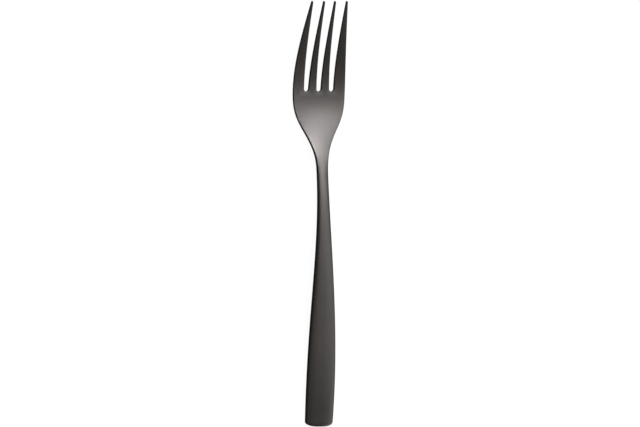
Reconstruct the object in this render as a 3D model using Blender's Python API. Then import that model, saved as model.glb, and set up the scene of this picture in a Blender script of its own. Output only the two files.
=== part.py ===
"""A cake fork made as one piece: a steel bar is cut to a flat blank with four tines, and the blank is
pressed over a curved die. The script follows the same two steps. Half the blank is laid out in plan,
each of its points is pressed to its place in the curve, and modifiers mirror it and round its edges.

Units are metres. X runs across the fork, Y from the butt to the tines, Z up from the table."""

import math

import bmesh
import bpy
import numpy as np

MM = 0.001

# Lengths along the fork, each from the place named first to the next one
BUTT_TO_WIDEST = 11.0 * MM
WIDEST_TO_GRIP = 24.0 * MM
GRIP_TO_CREST = 25.0 * MM
CREST_TO_NECK = 27.6 * MM
NECK_TO_THROAT = 8.0 * MM
THROAT_TO_SHOULDER = 6.4 * MM
SHOULDER_TO_CHEEK = 6.6 * MM
CHEEK_TO_BELLY = 9.2 * MM
BELLY_TO_MID_TINE = 16.2 * MM
MID_TINE_TO_TIP = 16.0 * MM

# Widths across the fork at those places
BUTT_WIDTH = 10.15 * MM
HANDLE_WIDTH = 10.47 * MM
GRIP_WIDTH = 9.3 * MM
CREST_WIDTH = 6.2 * MM
NECK_WIDTH = 3.89 * MM
THROAT_WIDTH = 5.19 * MM
SHOULDER_WIDTH = 10.1 * MM
CHEEK_WIDTH = 16.62 * MM
HEAD_WIDTH = 19.3 * MM
MID_TINE_SPREAD = 17.45 * MM
TIP_SPREAD = 13.6 * MM

# Heights of the underside's edges above the butt's at those places
BUTT_LIFT = 0.0 * MM
WIDEST_LIFT = 1.44 * MM
GRIP_LIFT = 3.82 * MM
CREST_LIFT = 5.16 * MM
NECK_LIFT = 4.09 * MM
THROAT_LIFT = 3.02 * MM
SHOULDER_LIFT = 1.62 * MM
CHEEK_LIFT = 0.5 * MM
BELLY_LIFT = 0.24 * MM
MID_TINE_LIFT = 4.48 * MM
TIP_LIFT = 12.1 * MM
REST_FLAT_DEPTH = 0.06 * MM  # how much of the belly's curve is worn flat where it rests

# Thickness of the steel at its edges, and how far the handle's face is crowned above them
BUTT_THICKNESS = 1.97 * MM
CREST_THICKNESS = 2.28 * MM
NECK_THICKNESS = 1.88 * MM
THROAT_THICKNESS = 1.53 * MM
SHOULDER_THICKNESS = 1.26 * MM
BELLY_THICKNESS = 1.25 * MM
TIP_THICKNESS = 0.85 * MM
HANDLE_CROWN = 0.2  # of half the width

# How far the press turns up the head's sides, and how far the underside is rounded out below its edges
HEAD_DISH = 0.32 * MM
DISH_FLATNESS = 2.0  # the higher this is, the closer the turn keeps to the sides
UNDERSIDE_SWELL = 0.25 * MM

# Slots between the tines
SLOT_DEPTH = 31.9 * MM
SLOT_ROOT_WIDTH = 1.84 * MM
SLOT_PITCH = 4.7 * MM
MIDDLE_TIP_SPACING = 4.1 * MM
TINE_TIP_WIDTH = 0.72 * MM

# Roundings: the butt in plan, and the edges all round
BUTT_ROUND = 2.1 * MM
BUTT_SQUARENESS = 3.0
HANDLE_EDGE_RADIUS = 0.75 * MM
TINE_EDGE_RADIUS = 0.2 * MM
EDGE_ROOM = 1.25  # the strip beside an edge is at least this many roundings wide

# How finely the curves are cut into facets
HANDLE_ROWS = 24
HEAD_ROWS = 17
TINE_ROWS = 15
ROUND_STEPS = 6
EDGE_STEPS = 3

# The steel's black coating
COATING_COLOUR = (0.09, 0.086, 0.081, 1.0)
COATING_ROUGHNESS = 0.36
COATING_METALLIC = 1.0

places = np.cumsum(
    [
        0.0,
        BUTT_TO_WIDEST,
        WIDEST_TO_GRIP,
        GRIP_TO_CREST,
        CREST_TO_NECK,
        NECK_TO_THROAT,
        THROAT_TO_SHOULDER,
        SHOULDER_TO_CHEEK,
        CHEEK_TO_BELLY,
        BELLY_TO_MID_TINE,
        MID_TINE_TO_TIP,
    ]
)
crest_at = places[3]
neck_at = places[4]
throat_at = places[5]
shoulder_at = places[6]
cheek_at = places[7]
belly_at = places[8]
tips_at = places[10]
root_radius = SLOT_ROOT_WIDTH / 2
root_centre = tips_at - SLOT_DEPTH + root_radius
fan_depth = SLOT_PITCH / 2  # the rows round a slot's root spread this far back between the slots
tip_start = tips_at - TINE_TIP_WIDTH / 2
edge_radius = max(HANDLE_EDGE_RADIUS, TINE_EDGE_RADIUS)


def smooth_line(along, values):
    """The natural cubic spline through values, as a function of the place along the fork."""
    step = np.diff(along)
    matrix = np.eye(len(along))
    right = np.zeros(len(along))
    for i in range(1, len(along) - 1):
        matrix[i, i - 1 : i + 2] = step[i - 1], 2 * (step[i - 1] + step[i]), step[i]
        rise_before = (values[i] - values[i - 1]) / step[i - 1]
        rise_after = (values[i + 1] - values[i]) / step[i]
        right[i] = 6 * (rise_after - rise_before)
    bend = np.linalg.solve(matrix, right)

    def value(place):
        i = int(np.clip(np.searchsorted(along, place) - 1, 0, len(step) - 1))
        a = (along[i + 1] - place) / step[i]
        b = (place - along[i]) / step[i]
        curved = ((a**3 - a) * bend[i] + (b**3 - b) * bend[i + 1]) * step[i] ** 2 / 6
        return a * values[i] + b * values[i + 1] + curved

    return value


half_width = smooth_line(
    places,
    np.array(
        [
            BUTT_WIDTH,
            HANDLE_WIDTH,
            GRIP_WIDTH,
            CREST_WIDTH,
            NECK_WIDTH,
            THROAT_WIDTH,
            SHOULDER_WIDTH,
            CHEEK_WIDTH,
            HEAD_WIDTH,
            MID_TINE_SPREAD,
            TIP_SPREAD,
        ]
    )
    / 2,
)
underside = smooth_line(
    places,
    [
        BUTT_LIFT,
        WIDEST_LIFT,
        GRIP_LIFT,
        CREST_LIFT,
        NECK_LIFT,
        THROAT_LIFT,
        SHOULDER_LIFT,
        CHEEK_LIFT,
        BELLY_LIFT,
        MID_TINE_LIFT,
        TIP_LIFT,
    ],
)
edge_thickness = smooth_line(
    [0.0, crest_at, neck_at, throat_at, shoulder_at, belly_at, tips_at],
    [
        BUTT_THICKNESS,
        CREST_THICKNESS,
        NECK_THICKNESS,
        THROAT_THICKNESS,
        SHOULDER_THICKNESS,
        BELLY_THICKNESS,
        TIP_THICKNESS,
    ],
)
head_places = np.linspace(neck_at, tips_at, 1000)
lowest = min(underside(place) for place in head_places)
table = lowest - UNDERSIDE_SWELL + REST_FLAT_DEPTH


def fade(place, start, end):
    """0 before start, 1 after end, with a smooth rise between them."""
    share = min(max((place - start) / (end - start), 0.0), 1.0)
    return share * share * (3 - 2 * share)


def thickness(x, along):
    """How far the face lies above the underside's edges: the edge, and the handle's crown over it."""
    crown = HANDLE_CROWN * half_width(along) * (1 - fade(along, neck_at, belly_at))
    return edge_thickness(along) + crown * (1 - min(x / half_width(along), 1.0) ** 2)


def swell(x, along):
    """How far the underside is rounded out below its edges. The swell runs out along the tines."""
    depth = UNDERSIDE_SWELL * (1 - fade(along, belly_at, tips_at))
    return depth * (1 - min(x / half_width(along), 1.0) ** 2)


def dish(x, along):
    """How far the press lifts a point of the head above the head's middle."""
    share = fade(along, neck_at, throat_at) * (1 - fade(along, cheek_at, tips_at))
    return HEAD_DISH * share * min(x / half_width(along), 1.0) ** DISH_FLATNESS


def pressed(x, along, height):
    """Where the press puts a point that lies height above the edges of the blank's underside."""
    reach = (tips_at - neck_at) / 1000
    slope = math.atan2(underside(along + reach) - underside(along - reach), 2 * reach)
    y = along - height * math.sin(slope)
    z = underside(along) + dish(x, along) + height * math.cos(slope)
    return x, y, max(z, table) - table


def rounding(along):
    """The radius of the edges at this place."""
    tine = min(TINE_EDGE_RADIUS, TINE_TIP_WIDTH / 3)
    return HANDLE_EDGE_RADIUS + (tine - HANDLE_EDGE_RADIUS) * fade(along, crest_at, shoulder_at)


def clear_of_edge(along):
    """How far from the middle the blank stays clear of its rounded edge."""
    return half_width(along) - EDGE_ROOM * rounding(along)


def body_row(along):
    """Six points across half the blank: two for each tine's sides and one along its middle. Before
    the slots start, the two points beside a slot are one point."""
    edge = half_width(along)
    clear = clear_of_edge(along)
    slot = SLOT_PITCH * clear / clear_of_edge(root_centre - root_radius)
    across = [0.0, slot / 2, slot, slot, min((slot + edge) / 2, clear), edge]
    return [(x, along) for x in across]


def butt_rows():
    """The butt's end is a flattened curve whose corners fan out from the first full row."""
    full = body_row(BUTT_ROUND)
    edge = full[5][0]
    power = BUTT_SQUARENESS

    def end_point(x):
        return x, BUTT_ROUND * (1 - (1 - (x / edge) ** power) ** (1 / power))

    rows = [[end_point(x) for x, _ in full[:5]] + [end_point(full[4][0])]]
    corner = math.acos((full[4][0] / edge) ** (power / 2))
    for turn in np.linspace(corner, 0.0, ROUND_STEPS + 1)[1:]:
        rows.append(full[:5] + [end_point(edge * math.cos(turn) ** (2 / power))])
    return rows


def tine_sides(along):
    """Where the sides of the middle and the outer tine lie, beyond the roots of the slots."""
    share = (along - root_centre) / (tip_start - root_centre)
    tip = TINE_TIP_WIDTH / 2
    roots = np.array([root_radius, SLOT_PITCH - root_radius, SLOT_PITCH + root_radius])
    middle = MIDDLE_TIP_SPACING / 2
    ends = np.array([middle - tip, middle + tip, half_width(tip_start) - TINE_TIP_WIDTH])
    return [*(roots + (ends - roots) * share), half_width(along)]


def root_rows():
    """Rows that turn round the half circles where the slots start."""
    rows = []
    for turn in np.linspace(-math.pi / 2, 0.0, ROUND_STEPS + 1):
        across = root_radius * math.cos(turn)
        along = root_centre + root_radius * math.sin(turn)
        back = root_centre + fan_depth * math.sin(turn)
        inner, outer = SLOT_PITCH - across, SLOT_PITCH + across
        edge = half_width(back)
        row = [(across, along), (SLOT_PITCH / 2, back), (inner, along)]
        row += [(outer, along), ((SLOT_PITCH + root_radius + edge) / 2, back), (edge, back)]
        rows.append(row)
    return rows


def tine_row(along):
    a, b, c, d = tine_sides(along)
    return [(x, along) for x in (a, (a + b) / 2, b, c, (c + d) / 2, d)]


def tip_rows():
    """Each tine ends in a half circle, fanned out from the middle of its last full row."""
    rows = []
    for turn in np.linspace(0.0, math.pi / 2, ROUND_STEPS + 1)[1:]:
        row = []
        a, b, c, d = tine_sides(tip_start)
        for left, right in ((a, b), (c, d)):
            middle, radius = (left + right) / 2, (right - left) / 2
            along = tip_start + radius * math.sin(turn)
            out = radius * math.cos(turn)
            centre = (middle, tip_start if out > radius / 1000 else along)
            row += [(middle - out, along), centre, (middle + out, along)]
        rows.append(row)
    return rows


def blank_rows():
    handle = np.linspace(BUTT_ROUND, neck_at, HANDLE_ROWS + 1)[1:]
    head = np.linspace(neck_at, root_centre - fan_depth, HEAD_ROWS + 1)[1:-1]
    tines = np.linspace(root_centre, tip_start, TINE_ROWS + 1)[1:]
    rows = butt_rows()
    rows += [body_row(along) for along in [*handle, *head]]
    rows += root_rows()
    rows += [tine_row(along) for along in tines]
    return rows + tip_rows()


def half_fork(mesh):
    """Half the fork as an open shell: the pressed underside and face, and the walls between them."""
    bm = bmesh.new()
    weight = bm.edges.layers.float.new("bevel_weight_edge")
    corners = {}

    def corner(point, upper):
        key = (round(point[0] / MM, 4), round(point[1] / MM, 4), upper)
        if key not in corners:
            height = thickness(*point) if upper else -swell(*point)
            corners[key] = bm.verts.new(pressed(*point, height))
        return corners[key]

    def panel(points):
        """A patch of the face and, turned over, of the underside. Points that coincide count once."""
        for upper, order in ((True, points), (False, points[::-1])):
            around = list(dict.fromkeys(corner(point, upper) for point in order))
            if len(around) > 2:
                bm.faces.new(around)

    def wall(near, far):
        """The strip of wall from the underside to the face between two points of the outline."""
        ends = [corner(near, False), corner(far, False), corner(far, True), corner(near, True)]
        if ends[0] is ends[1]:
            return
        bm.faces.new(ends)
        for start, end in ((0, 1), (2, 3)):
            edge = bm.edges.get((ends[start], ends[end]))
            edge[weight] = rounding((near[1] + far[1]) / 2) / edge_radius

    rows = blank_rows()
    for row, ahead in zip(rows, rows[1:]):
        for i in (0, 1, 3, 4):
            panel([row[i], row[i + 1], ahead[i + 1], ahead[i]])
        wall(row[5], ahead[5])
        if ahead[2] != ahead[3]:
            wall(ahead[0], row[0])
            wall(row[2], ahead[2])
            wall(ahead[3], row[3])
    for i in (0, 1, 3):
        wall(rows[0][i], rows[0][i + 1])
    ends = [vert.co.y for vert in bm.verts]
    bmesh.ops.translate(bm, verts=bm.verts, vec=(0.0, -(min(ends) + max(ends)) / 2, 0.0))
    bm.to_mesh(mesh)
    bm.free()


def coating():
    material = bpy.data.materials.new("black_coating")
    material.use_nodes = True
    shader = material.node_tree.nodes["Principled BSDF"]
    shader.inputs["Base Color"].default_value = COATING_COLOUR
    shader.inputs["Roughness"].default_value = COATING_ROUGHNESS
    shader.inputs["Metallic"].default_value = COATING_METALLIC
    return material


def make_fork():
    mesh = bpy.data.meshes.new("fork")
    half_fork(mesh)
    mesh.materials.append(coating())
    fork = bpy.data.objects.new("fork", mesh)
    bpy.context.scene.collection.objects.link(fork)
    mirror = fork.modifiers.new("Other half", "MIRROR")
    mirror.merge_threshold = TINE_TIP_WIDTH / 100
    rounding = fork.modifiers.new("Rounded edges", "BEVEL")
    rounding.limit_method = "WEIGHT"
    rounding.width = edge_radius
    rounding.segments = EDGE_STEPS
    rounding.loop_slide = False
    rounding.use_clamp_overlap = False
    mesh.shade_smooth()
    mesh.set_sharp_from_angle(angle=math.radians(40))


for old in list(bpy.data.objects):
    bpy.data.objects.remove(old)
make_fork()
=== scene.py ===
# %% [markdown]
# # A cake fork in satin black steel
# This lesson dresses one cake fork for a studio picture. The fork is a single piece of stainless
# steel with a thin black coating. It has no seam, screw or joint, so all that an eye can judge is
# its outline, the way its curves carry light, and the finish.
#
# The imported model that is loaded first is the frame: it fixes the size and the place of the fork.
# Units are metres, X runs across the fork, Y from the butt to the tips, and Z up from the table.

# %% Load the frame
import math

import bmesh
import bpy
import numpy as np
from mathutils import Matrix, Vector


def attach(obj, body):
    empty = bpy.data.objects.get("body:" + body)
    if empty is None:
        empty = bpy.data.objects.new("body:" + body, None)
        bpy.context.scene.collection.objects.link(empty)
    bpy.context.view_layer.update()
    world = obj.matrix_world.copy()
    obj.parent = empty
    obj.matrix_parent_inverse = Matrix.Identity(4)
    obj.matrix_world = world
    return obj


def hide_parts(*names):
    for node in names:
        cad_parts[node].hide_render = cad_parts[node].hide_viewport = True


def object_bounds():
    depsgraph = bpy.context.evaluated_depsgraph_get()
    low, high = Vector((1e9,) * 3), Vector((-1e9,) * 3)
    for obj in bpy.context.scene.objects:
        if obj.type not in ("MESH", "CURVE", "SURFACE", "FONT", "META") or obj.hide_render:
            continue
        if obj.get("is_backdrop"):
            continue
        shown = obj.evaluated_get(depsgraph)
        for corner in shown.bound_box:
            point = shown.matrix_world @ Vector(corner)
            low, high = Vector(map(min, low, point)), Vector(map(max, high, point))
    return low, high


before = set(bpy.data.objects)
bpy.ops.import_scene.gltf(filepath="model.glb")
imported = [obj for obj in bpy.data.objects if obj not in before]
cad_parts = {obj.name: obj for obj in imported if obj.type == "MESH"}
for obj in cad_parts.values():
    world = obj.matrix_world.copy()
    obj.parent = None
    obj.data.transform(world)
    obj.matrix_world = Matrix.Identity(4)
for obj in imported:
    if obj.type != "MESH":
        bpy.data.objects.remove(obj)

frame_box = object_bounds()
MM = 0.001


def in_mm(box):
    """The two corners of a box in millimetres, for printing."""
    return [[round(value / MM, 2) for value in corner] for corner in box]


print("the frame's box in mm:", in_mm(frame_box))

# %% [markdown]
# ## The lines that the fork follows
# A fork's shape is a rule: a flat blank with a curved outline is pressed over a curved die. Three
# lines say nearly all of it. One is the width at each place along the fork, one the height of the
# underside over the table, and one the thickness of the steel. A few places with names are enough
# for each line, and their numbers can be read and changed one by one.

# %% Places along the fork
PLACES = {
    # place: how far on from the place before, width of the fork, lift of its underside, in mm
    "butt": (0.0, 10.15, 0.0),
    "widest": (11.0, 10.47, 1.44),
    "grip": (24.0, 9.3, 3.82),
    "crest": (25.0, 6.2, 5.16),
    "neck": (27.6, 3.89, 4.09),
    "throat": (8.0, 5.19, 3.02),
    "shoulder": (6.4, 10.1, 1.62),
    "cheek": (6.6, 16.62, 0.5),
    "belly": (9.2, 19.3, 0.24),
    "mid tine": (16.2, 17.45, 4.48),
    "tips": (16.0, 13.6, 12.1),
}
THICKNESSES = {
    # place: thickness of the steel at its edge, in mm
    "butt": 1.97,
    "crest": 2.28,
    "neck": 1.88,
    "throat": 1.53,
    "shoulder": 1.26,
    "belly": 1.25,
    "tips": 0.85,
}

steps_along, widths, lifts = (np.array(values) for values in zip(*PLACES.values()))
station = dict(zip(PLACES, np.cumsum(steps_along) * MM))
print("length along the blank:", round(station["tips"] / MM, 1), "mm")

# %% [markdown]
# ### Smooth lines through the places
# On the real fork the outline and the bends run without a kink, because a kink would show in every
# highlight. Each line could be drawn by hand as a curve object. Here it is a natural cubic spline,
# the line that a thin bent lath takes, which passes through every place and bends evenly between.

# %% Splines through the places
def smooth_line(along, values):
    """The natural cubic spline through values, as a function of the place along the fork."""
    step = np.diff(along)
    matrix = np.eye(len(along))
    right = np.zeros(len(along))
    for i in range(1, len(along) - 1):
        matrix[i, i - 1 : i + 2] = step[i - 1], 2 * (step[i - 1] + step[i]), step[i]
        rise_before = (values[i] - values[i - 1]) / step[i - 1]
        rise_after = (values[i + 1] - values[i]) / step[i]
        right[i] = 6 * (rise_after - rise_before)
    bend = np.linalg.solve(matrix, right)

    def value(place):
        i = int(np.clip(np.searchsorted(along, place) - 1, 0, len(step) - 1))
        a = (along[i + 1] - place) / step[i]
        b = (place - along[i]) / step[i]
        curved = ((a**3 - a) * bend[i] + (b**3 - b) * bend[i + 1]) * step[i] ** 2 / 6
        return a * values[i] + b * values[i + 1] + curved

    return value


places = list(station.values())
half_width = smooth_line(places, widths * MM / 2)
underside = smooth_line(places, lifts * MM)
edge_thickness = smooth_line(
    [station[name] for name in THICKNESSES],
    [value * MM for value in THICKNESSES.values()],
)
print("width at the neck:", round(2 * half_width(station["neck"]) / MM, 2), "mm")

# %% [markdown]
# ## Crown, dish, swell and rounded edges
# A pressed fork is nowhere quite flat across. The handle's face is crowned, the sides of the head
# are turned up a little, and the underside swells below its edges. The edges are rounded more on
# the handle, which a hand holds, than on the thin tines.
#
# Each form could be sculpted. Here it is a size times a share that fades in and out along the
# fork, so one form runs into the next without a step.

# %% How much of each form there is at a place
HANDLE_CROWN = 0.2  # of half the width
HEAD_DISH = 0.32 * MM
DISH_FLATNESS = 2.0  # the higher this is, the closer the turn keeps to the sides
UNDERSIDE_SWELL = 0.25 * MM
HANDLE_EDGE_RADIUS = 0.75 * MM
TINE_EDGE_RADIUS = 0.2 * MM


def fade(place, start, end):
    """0 before start, 1 after end, with a smooth rise between them."""
    share = min(max((place - start) / (end - start), 0.0), 1.0)
    return share * share * (3 - 2 * share)


def crown_share(place):
    return 1 - fade(place, station["neck"], station["belly"])


def dish_share(place):
    rise = fade(place, station["neck"], station["throat"])
    return rise * (1 - fade(place, station["cheek"], station["tips"]))


def swell_share(place):
    return 1 - fade(place, station["belly"], station["tips"])


def rounding(place):
    """The radius of the edges at this place."""
    finer = fade(place, station["crest"], station["shoulder"])
    return HANDLE_EDGE_RADIUS + (TINE_EDGE_RADIUS - HANDLE_EDGE_RADIUS) * finer


print("edge radius at the neck:", round(rounding(station["neck"]) / MM, 2), "mm")

# %% [markdown]
# ## Where the fork rests
# The fork lies on the lowest place of its head, where use wears a small flat. A flat face could be
# cut there afterwards. Here the table's height is worked out first, a little above the lowest point
# of the swell, and the press will stop every point at it, as a table would.

# %% Resting place and slope
REST_FLAT_DEPTH = 0.06 * MM
SEARCH_STEPS = 1000
SLOPE_REACH = 0.05 * MM

head_places = np.linspace(station["neck"], station["tips"], SEARCH_STEPS)
rest_at = min(head_places, key=underside)
table_height = underside(rest_at) - UNDERSIDE_SWELL + REST_FLAT_DEPTH


def slope(place):
    """The angle at which the underside climbs at this place."""
    climb = underside(place + SLOPE_REACH) - underside(place - SLOPE_REACH)
    return math.atan2(climb, 2 * SLOPE_REACH)


print("belly rests", round(rest_at / MM, 1), "mm from the butt")

# %% [markdown]
# ## The flat blank
# The blank is laid out as rows of points across one half. Rows can follow every part of the
# outline: they fan round the corners of the butt, turn round the half circles where the slots
# start, and close in half circles at the tips. A grid cut by a boolean would leave ragged faces
# along the slots, and those show as soon as the steel catches light.
#
# Each row has four strips: two on the line of the inner tine and two on the line of the outer one.

# %% Rows across the handle, the head and the butt
SLOT_DEPTH = 31.9 * MM
SLOT_ROOT_RADIUS = 0.92 * MM
SLOT_PITCH = 4.7 * MM
EDGE_ROOM = 1.25  # the strip beside an edge is at least this many roundings wide
BUTT_ROUND = 2.1 * MM
BUTT_SQUARENESS = 3.0
ROUND_STEPS = 12

root_centre = station["tips"] - SLOT_DEPTH + SLOT_ROOT_RADIUS


def clear_of_edge(place):
    """How far from the middle the strip beside the edge may start."""
    return half_width(place) - EDGE_ROOM * rounding(place)


def with_middle(start, end):
    """Two ends and the point half way between them."""
    return [start, (start + end) / 2, end]


def body_row(along):
    """Points across the handle or the head."""
    edge = half_width(along)
    clear = clear_of_edge(along)
    slot = SLOT_PITCH * clear / clear_of_edge(root_centre - SLOT_ROOT_RADIUS)
    ridge = min((slot + edge) / 2, clear)
    inner_tine = [with_middle(0, slot / 2), with_middle(slot / 2, slot)]
    outer_tine = [with_middle(slot, ridge), [ridge, edge]]
    return [[(x, along) for x in strip] for strip in inner_tine + outer_tine]


def butt_rows():
    """The butt's end is a flattened curve, and its corner fans out from the first full row."""
    *inside, beside_edge = body_row(BUTT_ROUND)
    (ridge, _), (edge, _) = beside_edge
    power = BUTT_SQUARENESS

    def end_point(x):
        return x, BUTT_ROUND * (1 - (1 - (x / edge) ** power) ** (1 / power))

    rows = [[[end_point(x) for x, _ in strip] for strip in inside] + [[end_point(ridge)] * 2]]
    corner = math.acos((ridge / edge) ** (power / 2))
    for turn in np.linspace(corner, 0.0, ROUND_STEPS + 1)[1:]:
        rows.append(inside + [[beside_edge[0], end_point(edge * math.cos(turn) ** (2 / power))]])
    return rows


print("the butt's end has", len(butt_rows()), "rows")

# %% [markdown]
# ### The roots of the slots
# A slot has a round end, because a square one would be a place for cracks to start. A round hole
# could be cut out of a plain grid, but here the rows turn with the half circle: at a slot they end
# on it, and between two slots they meet on the line of a tine, so the faces fan out into the head.

# %% Rows round the roots
fan_depth = SLOT_PITCH / 2


def root_rows():
    rows = []
    for turn in np.linspace(-math.pi / 2, 0.0, ROUND_STEPS + 1):
        across = SLOT_ROOT_RADIUS * math.cos(turn)
        along = root_centre + SLOT_ROOT_RADIUS * math.sin(turn)
        back = root_centre + fan_depth * math.sin(turn)
        edge = half_width(back)
        inner = (SLOT_PITCH / 2, back)
        outer = ((SLOT_PITCH + SLOT_ROOT_RADIUS + edge) / 2, back)
        row = [[(across, along), inner], [inner, (SLOT_PITCH - across, along)]]
        rows.append(row + [[(SLOT_PITCH + across, along), outer], [outer, (edge, back)]])
    return rows


print("each root has", len(root_rows()), "rows")

# %% [markdown]
# ### The tines
# The tines taper from the roots to their tips. The sides that face a slot are straight, as a punch
# cuts them, while the outermost sides follow the outline. Each tip is a half circle, fanned out
# from the middle of the tine's last full row.

# %% Rows across the tines
MIDDLE_TIP_SPACING = 4.1 * MM
TINE_TIP_WIDTH = 0.72 * MM

tip_start = station["tips"] - TINE_TIP_WIDTH / 2


def tine_sides(along):
    """The two sides of the inner tine, then those of the outer one."""
    share = (along - root_centre) / (tip_start - root_centre)
    tip = TINE_TIP_WIDTH / 2
    middle = MIDDLE_TIP_SPACING / 2
    roots = np.array([SLOT_ROOT_RADIUS, SLOT_PITCH - SLOT_ROOT_RADIUS, SLOT_PITCH + SLOT_ROOT_RADIUS])
    ends = np.array([middle - tip, middle + tip, half_width(tip_start) - TINE_TIP_WIDTH])
    inner_near, inner_far, outer_near = roots + (ends - roots) * share
    return (inner_near, inner_far), (outer_near, half_width(along))


def tine_row(along):
    row = []
    for near, far in tine_sides(along):
        middle = (near + far) / 2
        row += [[(near, along), (middle, along)], [(middle, along), (far, along)]]
    return row


def tip_rows():
    rows = []
    turns = np.linspace(0.0, math.pi / 2, ROUND_STEPS + 1)[1:]
    for turn in turns:
        row = []
        for near, far in tine_sides(tip_start):
            middle, radius = (near + far) / 2, (far - near) / 2
            along = tip_start + radius * math.sin(turn)
            out = radius * math.cos(turn)
            centre = (middle, along if turn == turns[-1] else tip_start)
            row += [[(middle - out, along), centre], [centre, (middle + out, along)]]
        rows.append(row)
    return rows


print("each tip has", len(tip_rows()), "rows")

# %% [markdown]
# ### All rows in order
# The rows are about 0.7 mm apart, and closer where the outline turns. Too few of them would show as
# flats in the highlight on the throat, and many more would only make the file heavy.

# %% Rows from the butt to the tips
HANDLE_ROWS = 120
HEAD_ROWS = 44
TINE_ROWS = 48

handle = np.linspace(BUTT_ROUND, station["neck"], HANDLE_ROWS + 1)[1:]
head = np.linspace(station["neck"], root_centre - fan_depth, HEAD_ROWS + 1)[1:-1]
tines = np.linspace(root_centre, tip_start, TINE_ROWS + 1)[1:]
rows = butt_rows() + [body_row(along) for along in [*handle, *head]]
rows += root_rows() + [tine_row(along) for along in tines] + tip_rows()
print(len(rows), "rows of points from the butt to the tips")

# %% [markdown]
# ## Half a blank as a mesh
# Neighbouring rows are joined strip by strip. Points that coincide, as in a fan, count once. The
# press will need to know some things at each point, so they travel with the mesh as named
# attributes: where the underside lies, how it climbs, and how much crown, dish and swell there is.

# %% Join the rows
SAME_POINT_DIGITS = 4  # of a millimetre

points = {}
blank_faces = []


def point_number(point):
    key = tuple(round(value / MM, SAME_POINT_DIGITS) for value in point)
    return points.setdefault(key, len(points))


def add_patch(corners):
    around = list(dict.fromkeys(point_number(corner) for corner in corners))
    if len(around) > 2:
        blank_faces.append(around)


for row, ahead in zip(rows, rows[1:]):
    for strip, strip_ahead in zip(row, ahead):
        if len(strip) != len(strip_ahead):
            add_patch(strip + strip_ahead[::-1])
            continue
        for i in range(len(strip) - 1):
            add_patch([strip[i], strip[i + 1], strip_ahead[i + 1], strip_ahead[i]])

blank_points = [(x * MM, along * MM, 0.0) for x, along in points]
blank_mesh = bpy.data.meshes.new("half_blank")
blank_mesh.from_pydata(blank_points, [], blank_faces)
die_values = {
    "half_width": half_width,
    "lift": underside,
    "slope": slope,
    "thickness": edge_thickness,
    "crown_share": crown_share,
    "dish_share": dish_share,
    "swell_share": swell_share,
    "rounding": rounding,
}
for name, rule in die_values.items():
    values = blank_mesh.attributes.new(name, "FLOAT", "POINT")
    values.data.foreach_set("value", [rule(along) for _, along, _ in blank_points])
print("half the blank:", len(blank_points), "points,", len(blank_faces), "faces")

# %% [markdown]
# ## Helpers for node trees
# The press, the coating and the room are all node trees, and a tree is easier to read as a formula
# than as a list of links. These helpers add a node and fill its inputs with plain numbers or with
# the outputs of other nodes, so a sum or a product takes one line.

# %% Helpers that add nodes
def add_node(tree, kind, inputs=(), **settings):
    """Add a node, set its options, then fill its inputs with values or links."""
    node = tree.nodes.new(kind)
    for name, value in settings.items():
        setattr(node, name, value)
    for socket, value in dict(inputs).items():
        if isinstance(value, bpy.types.NodeSocket):
            tree.links.new(value, node.inputs[socket])
        else:
            node.inputs[socket].default_value = value
    return node


def maths(tree, operation, *values):
    """The output of a Math node fed with these values or sockets."""
    return add_node(tree, "ShaderNodeMath", dict(enumerate(values)), operation=operation).outputs[0]


def times(tree, *factors):
    """The product of values or sockets."""
    product = factors[0]
    for factor in factors[1:]:
        product = maths(tree, "MULTIPLY", product, factor)
    return product


print("helpers:", [helper.__name__ for helper in (add_node, maths, times)])

# %% [markdown]
# ## The press, as a node tree
# A Curve or a Lattice modifier could bend the blank, but neither knows how thick, crowned or dished
# the fork is at each place. The pressing is a rule that holds for every point, so Geometry Nodes do
# it. The tree mirrors the half blank, extrudes it to a face and walls, and closes it with a
# turned-over copy as the underside. Sizes are inputs of the tree, so a taller crown or a deeper
# dish is one number.

# %% Blank, walls and underside
WELD = 0.0005 * MM
PRESS_SIZES = {
    "Handle crown": HANDLE_CROWN,
    "Head dish": HEAD_DISH,
    "Dish flatness": DISH_FLATNESS,
    "Underside swell": UNDERSIDE_SWELL,
    "Table height": table_height,
    "Largest rounding": HANDLE_EDGE_RADIUS,
}

press = bpy.data.node_groups.new("press_fork", "GeometryNodeTree")
press.interface.new_socket("Geometry", in_out="OUTPUT", socket_type="NodeSocketGeometry")
press.interface.new_socket("Half blank", in_out="INPUT", socket_type="NodeSocketGeometry")
press.interface.new_socket("Coating", in_out="INPUT", socket_type="NodeSocketMaterial")
for name in PRESS_SIZES:
    press.interface.new_socket(name, in_out="INPUT", socket_type="NodeSocketFloat")
given = add_node(press, "NodeGroupInput").outputs


def joined(*parts):
    """Several meshes as one, with the points that coincide welded."""
    join = add_node(press, "GeometryNodeJoinGeometry")
    for part in parts:
        press.links.new(part, join.inputs[0])
    weld = {"Geometry": join.outputs[0], "Distance": WELD}
    return add_node(press, "GeometryNodeMergeByDistance", weld).outputs[0]


half_blank = given["Half blank"]
mirrored = add_node(press, "GeometryNodeTransform", {"Geometry": half_blank, "Scale": (-1.0, 1.0, 1.0)})
turned_back = add_node(press, "GeometryNodeFlipFaces", {"Mesh": mirrored.outputs[0]})
whole = joined(half_blank, turned_back.outputs[0])

raising = {"Mesh": whole, "Offset Scale": MM, "Individual": False}  # any height, the press sets it
extruded = add_node(press, "GeometryNodeExtrudeMesh", raising)
marked = add_node(
    press,
    "GeometryNodeStoreNamedAttribute",
    {"Geometry": extruded.outputs["Mesh"], "Name": "on_face", "Value": extruded.outputs["Top"]},
    data_type="BOOLEAN",
    domain="POINT",
)
under = add_node(press, "GeometryNodeFlipFaces", {"Mesh": whole})
shell = joined(marked.outputs[0], under.outputs[0])
print("the press takes", len(PRESS_SIZES), "sizes")

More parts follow.
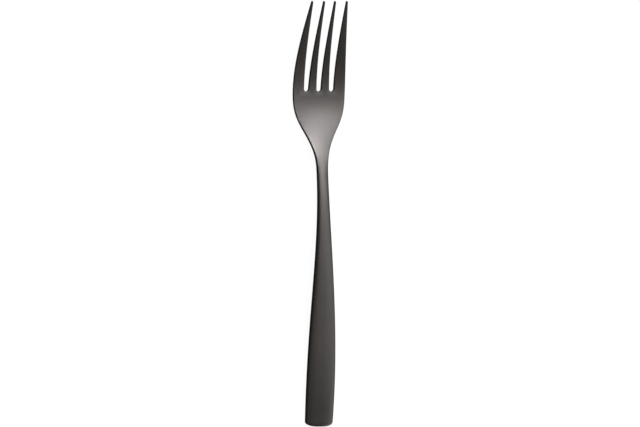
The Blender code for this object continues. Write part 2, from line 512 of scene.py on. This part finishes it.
# %% [markdown]
# ### Heights over the die
# How far out a point lies, as a share of half the width, is `u`. Across the fork, `1 - u²` is 1 on
# the middle line and 0 at the edge, which is the curve of a crown or a swell, and a power of `u`
# turns up the sides of the head. A point on the face stands as high over the die as the steel is
# thick, plus the crown. A point of the underside hangs below the die by the swell.

# %% Height of every point
def from_blank(name, kind="FLOAT"):
    """A value that travels with the points of the blank."""
    reader = add_node(press, "GeometryNodeInputNamedAttribute", {"Name": name}, data_type=kind)
    return reader.outputs["Attribute"]


position = add_node(press, "GeometryNodeInputPosition").outputs[0]
place = add_node(press, "ShaderNodeSeparateXYZ", {0: position}).outputs
half = from_blank("half_width")
u = maths(press, "MINIMUM", maths(press, "DIVIDE", maths(press, "ABSOLUTE", place["X"]), half), 1.0)
inward = maths(press, "SUBTRACT", 1.0, times(press, u, u))
rimward = maths(press, "POWER", u, given["Dish flatness"])

crown = times(press, given["Handle crown"], half, from_blank("crown_share"), inward)
swell = times(press, given["Underside swell"], from_blank("swell_share"), inward)
dish = times(press, given["Head dish"], from_blank("dish_share"), rimward)
sides = {
    "Switch": from_blank("on_face", "BOOLEAN"),
    "False": times(press, swell, -1.0),
    "True": maths(press, "ADD", from_blank("thickness"), crown),
}
height = add_node(press, "GeometryNodeSwitch", sides, input_type="FLOAT").outputs[0]
print("the press has", len(press.nodes), "nodes so far")

# %% [markdown]
# ### The stroke of the press
# A point at some height over the die moves square to the die's slope, as bent steel does, so the
# thickness stays true where the fork climbs. No point goes below the table. Then the fork is moved
# along until its middle lies at the origin, where the frame has it.

# %% Move every point
climb = from_blank("slope")
back = times(press, height, maths(press, "SINE", climb))
upward = times(press, height, maths(press, "COSINE", climb))
raised = maths(press, "ADD", maths(press, "ADD", from_blank("lift"), dish), upward)
table_top = given["Table height"]
stroke = {
    "X": place["X"],
    "Y": maths(press, "SUBTRACT", place["Y"], back),
    "Z": maths(press, "SUBTRACT", maths(press, "MAXIMUM", raised, table_top), table_top),
}
pressed_place = add_node(press, "ShaderNodeCombineXYZ", stroke).outputs[0]
pressed = add_node(press, "GeometryNodeSetPosition", {"Geometry": shell, "Position": pressed_place})

ends = add_node(press, "GeometryNodeBoundBox", {"Geometry": pressed.outputs[0]}).outputs
butt_end = add_node(press, "ShaderNodeSeparateXYZ", {0: ends["Min"]}).outputs["Y"]
tip_end = add_node(press, "ShaderNodeSeparateXYZ", {0: ends["Max"]}).outputs["Y"]
to_middle = times(press, maths(press, "ADD", butt_end, tip_end), -0.5)
shift = add_node(press, "ShaderNodeCombineXYZ", {"Y": to_middle}).outputs[0]
centred = add_node(press, "GeometryNodeSetPosition", {"Geometry": pressed.outputs[0], "Offset": shift})
print("the press has", len(press.nodes), "nodes so far")

# %% [markdown]
# ### The rim
# Only the rim is to be rounded, not the rows inside the face. Where two faces meet at a steep angle
# the tree stores a bevel weight, the share of the largest rounding that this place gets. It ends by
# setting the coating on every face.

# %% Mark the rim and set the coating
RIM_ANGLE = math.radians(40)

between_faces = add_node(press, "GeometryNodeInputMeshEdgeAngle").outputs["Unsigned Angle"]
rim = add_node(
    press,
    "FunctionNodeCompare",
    {0: between_faces, 1: RIM_ANGLE},
    data_type="FLOAT",
    operation="GREATER_THAN",
)
weighted = add_node(
    press,
    "GeometryNodeStoreNamedAttribute",
    {
        "Geometry": centred.outputs[0],
        "Selection": rim.outputs[0],
        "Name": "bevel_weight_edge",
        "Value": maths(press, "DIVIDE", from_blank("rounding"), given["Largest rounding"]),
    },
    data_type="FLOAT",
    domain="EDGE",
)
real = add_node(press, "GeometryNodeRealizeInstances", {"Geometry": weighted.outputs[0]}).outputs[0]
coated = add_node(press, "GeometryNodeSetMaterial", {"Geometry": real, "Material": given["Coating"]})
press.links.new(coated.outputs[0], add_node(press, "NodeGroupOutput").inputs[0])
print("the press has", len(press.nodes), "nodes")

# %% [markdown]
# ## The coating
# The black is a hard, thin vapour coating on blasted steel. It reflects like metal, but dark and a
# touch warm, and the blasted ground under it spreads every reflection. Up close it has a very fine
# grain and faint brush lines, and its gloss drifts a little from place to place.
#
# A picture of brushed metal could be wrapped round the fork, but it would stretch at the bends.
# Noise on Object coordinates, in metres, has its true size all over.

# %% Noise for the coating
GRAIN_SIZE = 0.16 * MM
DRIFT_SIZE = 14.0 * MM
BRUSH_WIDTH = 0.22 * MM
BRUSH_LENGTH = 9.0 * MM
NOISE_MIDDLE = (0.3, 0.7)  # most of a noise lies between these

coating = bpy.data.materials.new("satin_black_coating")
coating.use_nodes = True
finish = coating.node_tree
spot = add_node(finish, "ShaderNodeTexCoord").outputs["Object"]


def noise(size, detail, stretch=(1.0, 1.0, 1.0)):
    """Noise with features of this size, drawn out along an axis by stretch."""
    scaled = add_node(finish, "ShaderNodeMapping", {"Vector": spot, "Scale": stretch}).outputs[0]
    look = {"Vector": scaled, "Scale": 1 / size, "Detail": detail}
    return add_node(finish, "ShaderNodeTexNoise", look).outputs["Fac"]


def spread(value, low, high):
    """The middle of a noise, spread from low to high."""
    least, most = NOISE_MIDDLE
    limits = {"Value": value, "From Min": least, "From Max": most, "To Min": low, "To Max": high}
    return add_node(finish, "ShaderNodeMapRange", limits).outputs["Result"]


drift = noise(DRIFT_SIZE, detail=2.0)
grain = noise(GRAIN_SIZE, detail=3.0)
brush = noise(BRUSH_WIDTH, detail=2.0, stretch=(1.0, BRUSH_WIDTH / BRUSH_LENGTH, 1.0))
print("brush lines of", BRUSH_WIDTH / MM, "by", BRUSH_LENGTH / MM, "mm")

# %% [markdown]
# ### Colour, gloss and grain
# A metal's colour is the tint of its reflections, so the black is a dark grey. It is burnished,
# paler and glossier, where edges get rubbed. How much an edge is rubbed comes from an attribute
# that is measured on the finished mesh further down.

# %% Coating material
COATING_COLOUR = (0.0895, 0.0847, 0.0837, 1.0)
COATING_WARM = (0.0972, 0.0913, 0.0896, 1.0)
BURNISHED_COLOUR = (0.125, 0.118, 0.116, 1.0)
RUB_SIZE = 1.1 * MM
BURNISH = (0.15, 0.75)  # least and most burnish on a rubbed edge
ROUGHNESS = (0.35, 0.39)
BRUSH_ROUGHNESS = 0.02
GRAIN_ROUGHNESS = 0.015
BURNISH_POLISH = 0.06  # taken off the roughness where the burnish is full
GRAIN_DEPTH = 0.004 * MM
GRAIN_STRENGTH = 0.6
MIX_FIRST, MIX_SECOND, MIX_RESULT = 6, 7, 2  # where a Mix node has its sockets for colours


def mixed(share, first, second):
    """A colour between two, each given as a colour or a socket."""
    colours = {"Factor": share, MIX_FIRST: first, MIX_SECOND: second}
    return add_node(finish, "ShaderNodeMix", colours, data_type="RGBA").outputs[MIX_RESULT]


steel = finish.nodes["Principled BSDF"]
steel.inputs["Metallic"].default_value = 1.0
rubbed = add_node(finish, "ShaderNodeAttribute", attribute_name="edge_wear").outputs["Fac"]
burnish = times(finish, rubbed, spread(noise(RUB_SIZE, detail=4.0), *BURNISH))

tone = mixed(spread(drift, 0.0, 1.0), COATING_COLOUR, COATING_WARM)
finish.links.new(mixed(burnish, tone, BURNISHED_COLOUR), steel.inputs["Base Color"])

rough = spread(drift, *ROUGHNESS)
rough = maths(finish, "ADD", rough, spread(brush, -BRUSH_ROUGHNESS, BRUSH_ROUGHNESS))
rough = maths(finish, "ADD", rough, spread(grain, -GRAIN_ROUGHNESS, GRAIN_ROUGHNESS))
rough = maths(finish, "SUBTRACT", rough, times(finish, burnish, BURNISH_POLISH))
finish.links.new(rough, steel.inputs["Roughness"])

relief = {"Height": grain, "Strength": GRAIN_STRENGTH, "Distance": GRAIN_DEPTH}
finish.links.new(add_node(finish, "ShaderNodeBump", relief).outputs[0], steel.inputs["Normal"])
print("the coating has", len(finish.nodes), "nodes")

# %% [markdown]
# ## Press the fork
# The node tree presses the blank, and a Bevel modifier then rounds the rim by its weights. The
# result is baked to a plain mesh, because a model that leaves this program can't carry the
# modifiers along. Subdivision isn't used here: it would draw the thin tines in from their outline.

# %% Press, round and bake
EDGE_STEPS = 6

tool = bpy.data.objects.new("half_blank", blank_mesh)
bpy.context.scene.collection.objects.link(tool)
pressing = tool.modifiers.new("Press", "NODES")
pressing.node_group = press
for item in press.interface.items_tree:
    if item.name in PRESS_SIZES:
        pressing[item.identifier] = PRESS_SIZES[item.name]
    if item.name == "Coating":
        pressing[item.identifier] = coating
edges = tool.modifiers.new("Rounded edges", "BEVEL")
edges.limit_method = "WEIGHT"
edges.width = HANDLE_EDGE_RADIUS
edges.segments = EDGE_STEPS
edges.loop_slide = False
edges.use_clamp_overlap = False

bpy.context.view_layer.update()
evaluated = tool.evaluated_get(bpy.context.evaluated_depsgraph_get())
fork_mesh = bpy.data.meshes.new_from_object(evaluated)
bpy.data.objects.remove(tool)
fork_mesh.name = "pressed_fork"
fork_mesh.shade_smooth()
fork = bpy.data.objects.new("pressed_fork", fork_mesh)
bpy.context.scene.collection.objects.link(fork)

solid = bmesh.new()
solid.from_mesh(fork_mesh)
open_edges = sum(not edge.is_manifold for edge in solid.edges)
volume = solid.calc_volume(signed=True) / MM**3
print("pressed fork:", len(solid.faces), "faces,", open_edges, "open edges,", round(volume), "mm3")

# %% [markdown]
# ## Where hands and cloths rub
# Wear follows sharp convex edges. It could be painted by hand, but a rule finds every edge of all
# four tines alike. How fast the normal turns along a mesh edge, divided by that edge's length, is
# the curvature there. The largest value round each point, evened out over its neighbours, becomes
# the attribute that the coating reads.

# %% Measure the edges
RUB_STARTS = 0.4 / MM  # curvature, one over the radius
RUB_FULL = 1.7 / MM
EVENING_ROUNDS = 2
LEAST_SQUARE = 1e-15  # keeps an edge without length from dividing by nothing

solid.verts.ensure_lookup_table()
solid.normal_update()
ends_of_edge = np.array([[vert.index for vert in edge.verts] for edge in solid.edges])
spots = np.array([vert.co for vert in solid.verts])
normals = np.array([vert.normal for vert in solid.verts])
solid.free()

first_end, second_end = ends_of_edge.T
apart = spots[second_end] - spots[first_end]
turned = normals[second_end] - normals[first_end]
curvature = (apart * turned).sum(1) / np.maximum((apart**2).sum(1), LEAST_SQUARE)
sharpest = np.zeros(len(spots))
for end in (first_end, second_end):
    np.maximum.at(sharpest, end, curvature)
wear = np.clip((sharpest - RUB_STARTS) / (RUB_FULL - RUB_STARTS), 0, 1)

neighbours = np.bincount(ends_of_edge.ravel(), minlength=len(spots))
for _ in range(EVENING_ROUNDS):
    around = np.zeros(len(spots))
    np.add.at(around, first_end, wear[second_end])
    np.add.at(around, second_end, wear[first_end])
    wear = (wear + around / neighbours) / 2
fork_mesh.attributes.new("edge_wear", "FLOAT", "POINT").data.foreach_set("value", wear)
print("mean wear of the points:", round(float(wear.mean()), 2))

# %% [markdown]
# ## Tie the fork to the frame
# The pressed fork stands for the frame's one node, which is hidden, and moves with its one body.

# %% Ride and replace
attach(fork, "root")
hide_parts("fork")
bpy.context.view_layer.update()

# %% [markdown]
# ## A pale table
# The fork was photographed on a white ground that leaves no shadow. A white sheet under strong lamps
# could do that, but the lamps would light the fork as well. This table glows by itself and takes
# only a little light, so it stays pale, and what shadow there is stays faint. It isn't seen in
# reflections, because a dark flank is what gives the fork its edge against the white.

# %% Table and backdrop
WHITE = (1.0, 1.0, 1.0, 1.0)
TABLE_RADIUS = 40.0
TABLE_SIDES = 96
TABLE_GLOW = 0.96
TABLE_TINT = (0.07, 0.07, 0.07, 1.0)
TABLE_ROUGHNESS = 0.9

bpy.ops.mesh.primitive_circle_add(vertices=TABLE_SIDES, radius=TABLE_RADIUS, fill_type="NGON")
table = bpy.context.object
table.name = "pale_table"
paint = bpy.data.materials.new("pale_table")
paint.use_nodes = True
coat = paint.node_tree.nodes["Principled BSDF"].inputs
coat["Base Color"].default_value = TABLE_TINT
coat["Roughness"].default_value = TABLE_ROUGHNESS
coat["Specular IOR Level"].default_value = 0.0
coat["Emission Color"].default_value = WHITE
coat["Emission Strength"].default_value = TABLE_GLOW
table.data.materials.append(paint)
table.visible_glossy = False
table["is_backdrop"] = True
print("table radius", TABLE_RADIUS, "m")

# %% [markdown]
# ## The room
# A dark metal shows its surroundings more than its own colour. Walls could be modelled, but a rule
# for each direction is enough. The room that the fork mirrors is dim and a little warm, and darker
# below, where the flanks look. The camera sees plain white in its place, so that in a low view the
# pale ground runs on into white.

# %% Room
ROOM_COLOUR = (1.06, 1.0, 0.88, 1.0)
ROOM_ABOVE = 0.2
ROOM_BELOW = 0.06
HORIZON_BLUR = 0.15
ROOM_SEEN = 1.0

world = bpy.data.worlds.new("studio_room")
bpy.context.scene.world = world
world.use_nodes = True
room = world.node_tree
room.nodes.clear()
direction = add_node(room, "ShaderNodeTexCoord").outputs["Generated"]
skyward = add_node(room, "ShaderNodeSeparateXYZ", {0: direction}).outputs["Z"]
dimming = {
    "Value": skyward,
    "From Min": -HORIZON_BLUR,
    "From Max": HORIZON_BLUR,
    "To Min": ROOM_BELOW,
    "To Max": ROOM_ABOVE,
}
dim = add_node(room, "ShaderNodeMapRange", dimming).outputs["Result"]
mirrored_room = add_node(room, "ShaderNodeBackground", {"Color": ROOM_COLOUR, "Strength": dim}).outputs[0]
seen_room = add_node(room, "ShaderNodeBackground", {"Color": WHITE, "Strength": ROOM_SEEN}).outputs[0]
seen = add_node(room, "ShaderNodeLightPath").outputs["Is Camera Ray"]
either = add_node(room, "ShaderNodeMixShader", {0: seen, 1: mirrored_room, 2: seen_room}).outputs[0]
room.links.new(either, add_node(room, "ShaderNodeOutputWorld").inputs[0])
print("the room's light is", ROOM_ABOVE, "above the table and", ROOM_BELOW, "below it")

# %% [markdown]
# ## Softboxes
# Each softbox is placed by what the camera sees mirrored in the fork. The crowned throat leans
# towards the tips, so its bright streak comes from the softboxes beyond them. The handle mirrors
# what is overhead and on the right, and its right edge what is low there. The tines lean back and
# mirror hardly anything but the room, which keeps them dark.
#
# One large softbox could light all of this, but evenly, and the curves would lose their form. The
# last two in the list hardly show in this picture. They are for views from other sides.

# %% Lamps round the fork
LAMP_DISTANCE = 1.2
SMALL_BOX = 0.45
LARGE_BOX = 0.9
SOFTBOXES = {
    # name: angle round from the right towards the tips, angle up from the table, diameter, watts
    "beyond_tips": (88.0, 55.0, SMALL_BOX, 7.5),
    "right_beyond_tips": (66.0, 55.0, SMALL_BOX, 3.3),
    "right_of_tips": (38.0, 53.0, SMALL_BOX, 1.6),
    "overhead": (45.0, 82.0, LARGE_BOX, 1.15),
    "above_right": (0.0, 55.0, SMALL_BOX, 0.68),
    "right_side": (0.0, 41.0, SMALL_BOX, 0.46),
    "low_right": (-16.0, 15.0, LARGE_BOX, 1.9),
    "low_right_of_butt": (-45.0, 10.0, LARGE_BOX, 2.1),
    "left_beyond_tips": (135.0, 30.0, LARGE_BOX, 0.9),
}

for name, (angle_round, angle_up, diameter, watts) in SOFTBOXES.items():
    box = bpy.data.lights.new(name, "AREA")
    box.shape = "DISK"
    box.size = diameter
    box.energy = watts
    lamp = bpy.data.objects.new(name, box)
    turn, rise = math.radians(angle_round), math.radians(angle_up)
    towards = Vector((math.cos(turn) * math.cos(rise), math.sin(turn) * math.cos(rise), math.sin(rise)))
    lamp.location = towards * LAMP_DISTANCE
    lamp.rotation_euler = towards.to_track_quat("Z", "Y").to_euler()
    lamp.visible_camera = False
    bpy.context.scene.collection.objects.link(lamp)
print(len(SOFTBOXES), "softboxes")

# %% [markdown]
# ## The camera
# The picture looks down on the fork with its tips up, from a little to the left: the left wall shows
# all along, the right one nowhere. A short lens close by would make the raised tips larger. A long
# lens far away keeps the two ends at one scale, as in the photograph.

# %% Camera
IMAGE_WIDTH = 640
PIXELS_PER_MM = 2.831
VIEW_FROM_LEFT = math.radians(20)
CAMERA_DISTANCE = 6.0
SENSOR_WIDTH = 36.0
PICTURE_CENTRE = (0.875 * MM, 0.15 * MM)  # right and up from the fork's middle

camera_data = bpy.data.cameras.new("long_lens")
camera_data.sensor_width = SENSOR_WIDTH
camera_data.lens = SENSOR_WIDTH * CAMERA_DISTANCE / (IMAGE_WIDTH / PIXELS_PER_MM * MM)
camera = bpy.data.objects.new("long_lens", camera_data)
bpy.context.scene.collection.objects.link(camera)
to_right = Vector((math.cos(VIEW_FROM_LEFT), 0, math.sin(VIEW_FROM_LEFT)))
to_camera = Vector((-math.sin(VIEW_FROM_LEFT), 0, math.cos(VIEW_FROM_LEFT)))
aim = to_right * PICTURE_CENTRE[0] + Vector((0, PICTURE_CENTRE[1], 0))
camera.location = aim + to_camera * CAMERA_DISTANCE
camera.rotation_euler = (0, -VIEW_FROM_LEFT, 0)
bpy.context.scene.camera = camera
bpy.context.scene.view_settings.view_transform = "Standard"
print("lens", round(camera_data.lens), "mm")

# %% [markdown]
# ## The boxes in numbers
# The dressed fork has to stay as large as the frame, so both boxes are written down as plain numbers.

# %% Sizes
sizes = {"frame": frame_box, "visual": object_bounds()}
sizes = {name: [[float(value) for value in corner] for corner in box] for name, box in sizes.items()}
print("boxes in mm:", {name: in_mm(box) for name, box in sizes.items()})
